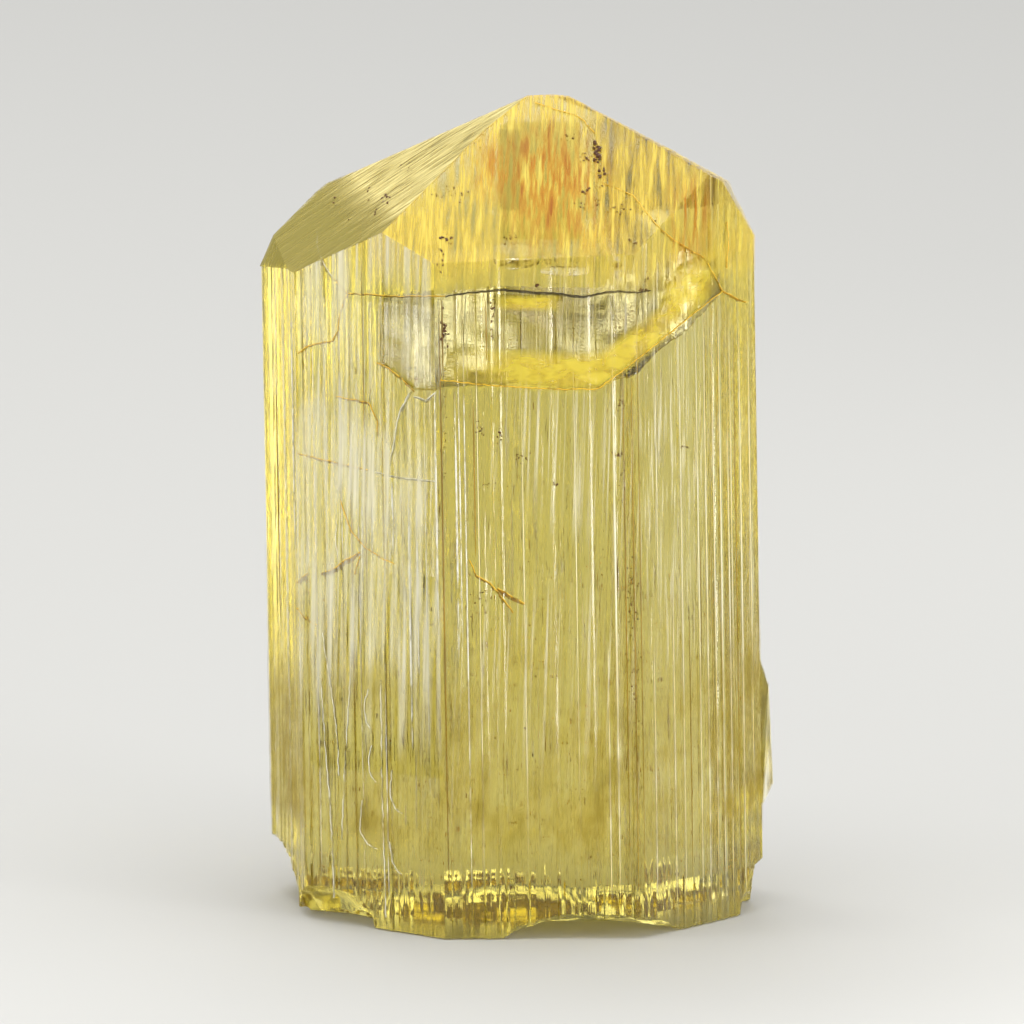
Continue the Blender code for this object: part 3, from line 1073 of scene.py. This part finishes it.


# Painted highlights and painted shade: the straight bright and dark lines that the striations show, which
# run nearly the whole height, painted as thin rods.
# For each: where it is at one height, its top and bottom (pixels of the photo) and its half width (mm)

paintedStriationLines = {
    "givenAt": 600,
    "drift": 0.029,      # sideways per pixel down, as the crystal leans
    "depth": 0.0,
    # the white and pale lines are painted highlights
    "white": ((459, 400, 660, 0.045), (463, 380, 640, 0.030), (467, 330, 900, 0.030),
              (317, 310, 880, 0.030), (298, 300, 560, 0.040), (288, 300, 880, 0.025),
              (360, 330, 880, 0.025), (410, 480, 760, 0.060), (418, 500, 700, 0.040),
              (395, 480, 560, 0.050), (439, 390, 640, 0.045), (329, 330, 700, 0.020),
              (345, 310, 620, 0.025), (427, 400, 800, 0.025), (382, 640, 900, 0.030)),
    "pale": ((616, 300, 900, 0.040), (651, 640, 900, 0.025), (671, 560, 900, 0.030),
             (682, 350, 900, 0.025), (699, 320, 900, 0.030), (707, 320, 900, 0.035),
             (715, 320, 900, 0.030), (722, 300, 900, 0.035), (729, 400, 900, 0.030),
             (742, 310, 900, 0.035), (734, 310, 700, 0.020), (752, 320, 800, 0.030),
             (480, 310, 880, 0.020), (524, 400, 880, 0.020), (577, 330, 860, 0.018),
             (594, 330, 760, 0.022), (660, 320, 620, 0.020), (605, 640, 900, 0.030)),
    # the brown lines are painted shade
    "brown": ((478, 400, 560, 0.035), (385, 300, 900, 0.018), (281, 380, 620, 0.025),
              (444, 300, 900, 0.040), (369, 230, 640, 0.025), (701, 520, 680, 0.018),
              (626, 330, 880, 0.030), (634, 360, 900, 0.030), (641, 300, 900, 0.022),
              (494, 300, 362, 0.030), (450, 298, 372, 0.040), (687, 600, 880, 0.022),
              (737, 330, 880, 0.018), (711, 420, 900, 0.015), (352, 400, 880, 0.018)),
}


def makePaintedStriationLines(kind):
    form = paintedStriationLines
    pixelHeight = pixelSize / math.cos(math.radians(photoView["elevation"]))
    copies = []
    for across, top, bottom, radius in form[kind]:
        deselectAll()
        bpy.ops.mesh.primitive_ico_sphere_add(subdivisions=2, radius=1.0)
        item = nameNew("line")
        middle = (top + bottom) / 2
        spot = spotInside((across + (middle - form["givenAt"]) * form["drift"], middle), form["depth"])
        tall = (bottom - top) * pixelHeight / 2
        size = Matrix.Diagonal((radius, radius, tall, 1.0))
        item.data.transform(Matrix.Translation(spot) @ alongCrystal @ size)
        copies.append(item)
    return joinPieces(kind + "Streaks", copies)


# A pale frosted skin on the thin side plate

plateSkin = {
    "larger": 1.03,
    "outOfFace": 0.08,
}


def makePlateSkin():
    item = makeSidePlate()
    middle = sum((vertex.co for vertex in item.data.vertices), Vector()) / len(item.data.vertices)
    item.data.transform(Matrix.Translation(middle) @ Matrix.Scale(plateSkin["larger"], 4)
                        @ Matrix.Translation(-middle))
    upright = leanTurn.inverted()
    limit = crystalForm["prismFaces"][2][1] + plateSkin["outOfFace"]
    deleteFaces(item, lambda face: (upright @ face.center).x < limit)
    nameNew("plateSkin")
    addModifier(item, "SOLIDIFY", thickness=coats["thickness"], offset=0.0)
    applyModifiers(item)
    item.location = axisShift
    applyPlace(item)
    return item


makeCamera()
makeFloor()
makeWorld()
for lightName in lights:
    makeLight(lightName)
print("scene: camera, floor and light are set")

crystalPiece = joinPieces("marialite", [makeCrystal(), makeFeathers()])
crystalPiece.data.materials.clear()
crystalPiece.data.materials.append(clearYellowMarialite())
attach(crystalPiece, "root")
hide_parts("crystal")
print("scene: the crystal is made,", len(crystalPiece.data.polygons), "faces")

# What each finish gives the eye: the colours where its pattern is dense and thin, the sizes of
# the pattern (mm), where it is clear, and how much it covers at its strongest

films = {
    # iron stained filling of the healed cracks, matt gold
    "goldenCrack": {"light": "#F2C23A", "dark": "#B98A20", "sizes": (0.3, 0.3, 0.3), "roughness": 0.5,
                    "clearBelow": 0.30, "denseAbove": 0.48, "strongest": 1.0},
    # a healed crack without stain, a thin white veil; the same colours paint the white highlight lines of
    # the striations
    "paleCrackAndPaintedHighlight": {"light": "#FFFDF0", "dark": "#E8DDA8", "sizes": (0.25, 0.25, 0.9), "roughness": 0.4,
                  "clearBelow": 0.30, "denseAbove": 0.55, "strongest": 0.9},
    # dirt washed into the open crack, nearly black and matt
    "dirtyCrack": {"light": "#2A1C0A", "dark": "#120C04", "sizes": (0.2, 0.2, 0.2), "roughness": 0.6,
                   "clearBelow": 0.20, "denseAbove": 0.40},
    # iron rust on the face, in matt orange and ochre streaks
    "rust": {"light": "#B86A00", "dark": "#EFB01C", "sizes": (0.20, 2.4, 2.4), "roughness": 0.7,
             "clearBelow": 0.43, "denseAbove": 0.72, "strongest": 0.85, "turned": -12, "edge": 0.40},
    # a painted highlight: the light that the crack's edge mirrors, painted as a glowing yellow
    "rim": {"light": "#FFE648", "dark": "#FFD01C", "sizes": (1.2, 1.2, 0.6), "roughness": 0.5,
            "clearBelow": 0.20, "denseAbove": 0.60, "strongest": 0.50, "edge": 0.28},
    # a finely broken surface, frosted and pale
    "frosted": {"light": "#FFFBE6", "dark": "#E8DDA8", "sizes": (0.3, 0.3, 2.5), "roughness": 0.6,
                "clearBelow": 0.25, "denseAbove": 0.65, "strongest": 0.45},
    # a thin ochre wash over the growth lines of the pyramid
    "wash": {"light": "#FFEA6A", "dark": "#F2C020", "sizes": (0.22, 3.2, 3.2), "roughness": 0.7,
             "clearBelow": 0.32, "denseAbove": 0.74, "strongest": 0.72, "clouds": 4.0,
             "thinnest": 0.55, "turned": -12, "fades": ((28.0, 26.6),)},
    # painted highlights: striation edges painted pale, as if they catch the light, as coarse as they need
    # to be to show
    "lines": {"light": "#FFF8DC", "dark": "#EFE4B0", "sizes": (0.11, 0.11, 30.0), "roughness": 0.6,
              "clearBelow": 0.50, "denseAbove": 0.68, "strongest": 0.4, "clouds": 6.0,
              "fades": ((12.0, 3.2),)},
    # a pale, finely ribbed skin on the left front face: partly its milky streaks, partly a painted sheen of
    # the light that its striations reflect
    "faceVeilAndPaintedSheen": {"light": "#FDF8E0", "dark": "#F4ECC0", "sizes": (0.4, 0.4, 14.0), "roughness": 0.6,
                 "clearBelow": 0.38, "denseAbove": 0.66, "strongest": 0.55, "clouds": 5.0,
                 "fades": ((11.0, 7.0),)},
    # olive brown clay stain low down, in soft clouds
    "lowStain": {"light": "#968008", "dark": "#BC9C12", "sizes": (1.1, 1.1, 2.4), "roughness": 0.7,
                 "clearBelow": 0.32, "denseAbove": 0.70, "strongest": 0.65, "clouds": 3.0,
                 "thinnest": 0.3, "fades": ((4.0, 15.0), (4.4, 2.9))},
    # an etched pyramid face, satin and pale yellow
    "etched": {"light": "#FFF0A6", "dark": "#E8D26E", "sizes": (1.8, 0.12, 1.8), "roughness": 0.7,
               "clearBelow": 0.32, "denseAbove": 0.66, "strongest": 0.75},
    # painted shade: the left shoulder facet painted dark olive, ribbed as the face is
    "shoulder": {"light": "#94862A", "dark": "#BCAE4C", "sizes": (2.4, 0.16, 2.4), "roughness": 0.6,
                 "clearBelow": 0.25, "denseAbove": 0.62, "strongest": 0.85,
                 "fades": ((28.5, 29.7),)},
    # needles and flecks that grew into the crystal: silky, brown or golden; the pale and brown needle
    # colours also paint the highlight and shade lines of the striations
    "paleNeedleAndPaintedHighlight": {"light": "#FFF9DC", "dark": "#F0E09A", "sizes": (0.8, 0.8, 5.0), "roughness": 0.3,
                   "clearBelow": 0.30, "denseAbove": 0.60},
    "brownNeedleAndPaintedShade": {"light": "#A8862A", "dark": "#6A5212", "sizes": (0.8, 0.8, 5.0), "roughness": 0.4,
                    "clearBelow": 0.30, "denseAbove": 0.60},
    "goldenFleck": {"light": "#D8A414", "dark": "#7A5C10", "sizes": (0.4, 0.4, 0.4), "roughness": 0.5,
                    "clearBelow": 0.35, "denseAbove": 0.65},
    # iron ore grains, dark brown
    "grain": {"light": "#5A3410", "dark": "#2A1606", "sizes": (0.15, 0.15, 0.15), "roughness": 0.5,
              "clearBelow": 0.15, "denseAbove": 0.35},
}

finishPiece(makeSmallCracks("golden"), filmMaterial("goldenCrackFilling", films["goldenCrack"]))
finishPiece(makeSmallCracks("pale"), filmMaterial("paleCrackVeil", films["paleCrackAndPaintedHighlight"]))
finishPiece(makeDarkCrack(), filmMaterial("dirtyCrack", films["dirtyCrack"]))
finishPiece(makeRustFilm(), filmMaterial("ironRust", films["rust"]))
# painted highlights along the shell shaped crack
finishPiece(makePaintedCrackHighlights(), filmMaterial("paintedCrackHighlight", films["rim"]))
finishPiece(makeGrains(), filmMaterial("ironGrain", films["grain"]))
# painted highlights and painted shade along the striations
finishPiece(makePaintedStriationLines("white"), filmMaterial("paintedWhiteHighlight", films["paleCrackAndPaintedHighlight"]))
finishPiece(makePaintedStriationLines("pale"), filmMaterial("paintedPaleHighlight", films["paleNeedleAndPaintedHighlight"]))
finishPiece(makePaintedStriationLines("brown"), filmMaterial("paintedBrownShade", films["brownNeedleAndPaintedShade"]))
finishPiece(makePlateSkin(), filmMaterial("frostedPlate", films["frosted"]))
finishPiece(makeNeedles("pale"), filmMaterial("paleNeedleAndPaintedHighlight", films["paleNeedleAndPaintedHighlight"]))
finishPiece(makeNeedles("white"), filmMaterial("whiteNeedle", films["paleCrackAndPaintedHighlight"]))
finishPiece(makeNeedles("brown"), filmMaterial("brownNeedleAndPaintedShade", films["brownNeedleAndPaintedShade"]))
finishPiece(makeNeedles("fleck"), filmMaterial("goldenFleck", films["goldenFleck"]))
finishPiece(makeCoat("etchedCoat"), filmMaterial("etchedSkin", films["etched"]))
# painted shade on the left shoulder
finishPiece(makeCoat("paintedShoulderShade"), filmMaterial("paintedOliveShade", films["shoulder"]))
finishPiece(makeCoat("goldenWash"), filmMaterial("ochreWash", films["wash"]))
finishPiece(makeCoat("backWash"), filmMaterial("paleOchreWash", {**films["wash"], "strongest": 0.4}))
# painted highlights on the striations
finishPiece(makeCoat("paintedLineHighlights"), filmMaterial("paintedLineHighlightSkin", films["lines"]))
finishPiece(makeCoat("lowStain"), filmMaterial("oliveStain", films["lowStain"]))
finishPiece(makeCoat("faceVeilAndPaintedSheen"), filmMaterial("creamVeilAndPaintedSheen", films["faceVeilAndPaintedSheen"]))
print("scene: the inner features are made")

# enough bounces for light to cross the crystal and its films

scene = bpy.context.scene
scene.view_settings.view_transform = "Standard"
scene.cycles.max_bounces = 8
scene.cycles.diffuse_bounces = 2
scene.cycles.transmission_bounces = 8
scene.cycles.transparent_max_bounces = 10
print("scene: the view is set")
